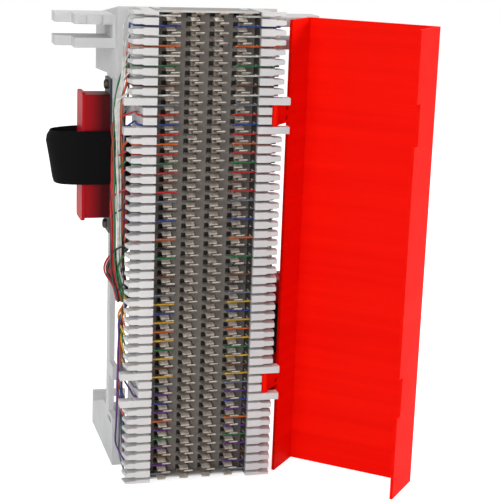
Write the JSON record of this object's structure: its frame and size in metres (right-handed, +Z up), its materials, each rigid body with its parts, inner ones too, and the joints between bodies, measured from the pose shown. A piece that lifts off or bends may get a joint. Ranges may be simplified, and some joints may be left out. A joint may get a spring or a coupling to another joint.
{
  "type": "punch down wiring block",
  "caption": "Split punch-down wiring block on a stand-off bracket, with an open red hinged cover and two pre-wired side connectors with dust caps",
  "frame": {"origin": "centre of the four wall screw holes, in the plane of the wall behind the bracket", "axes": "+Z up along the block, +Y into the wall, the front looks along -Y, +X to the right seen from the front"},
  "size_m": [0.1973, 0.1354, 0.258],
  "materials": {
    "block_plastic": "satin moulded",
    "bracket_plastic": "satin moulded",
    "cover_plastic": "semi-gloss moulded",
    "clip_metal": "tinned spring metal",
    "connector_plastic": "satin",
    "contact_metal": "gold plated",
    "cap_plastic": "soft gloss",
    "strap_fabric": "woven hook and loop",
    "screw_metal": "blackened",
    "wire_bundle": "mixed insulation colours",
    "wire_white": "insulation, white group",
    "wire_red": "insulation, red group",
    "wire_black": "insulation, black group",
    "wire_yellow": "insulation, yellow group",
    "wire_violet": "insulation, violet group"
  },
  "bodies": {
    "base": {"block_body": "block_plastic", "clips_left": "clip_metal", "clips_right": "clip_metal", "bracket": "bracket_plastic", "connector_shell_left": "connector_plastic", "connector_shell_right": "connector_plastic", "connector_insert_left": "connector_plastic", "connector_insert_right": "connector_plastic", "contacts_left": "contact_metal", "contacts_right": "contact_metal", "dust_cap_left": "cap_plastic", "dust_cap_right": "cap_plastic", "strap_left": "strap_fabric", "strap_right": "strap_fabric", "connector_screws": "screw_metal", "bundle_left": "wire_bundle", "bundle_right": "wire_bundle", "wires_left_white": "wire_white", "wires_left_red": "wire_red", "wires_left_black": "wire_black", "wires_left_yellow": "wire_yellow", "wires_left_violet": "wire_violet", "wires_right_white": "wire_white", "wires_right_red": "wire_red", "wires_right_black": "wire_black", "wires_right_yellow": "wire_yellow", "wires_right_violet": "wire_violet"},
    "cover": {"cover": "cover_plastic"}
  },
  "joints": [
    {"name": "cover_hinge", "type": "hinge", "parent": "base", "child": "cover", "pos_m": [0.0365, -0.0957, 0], "axis": [0, 0, 1], "range_deg": [-139, 0.5]}
  ]
}
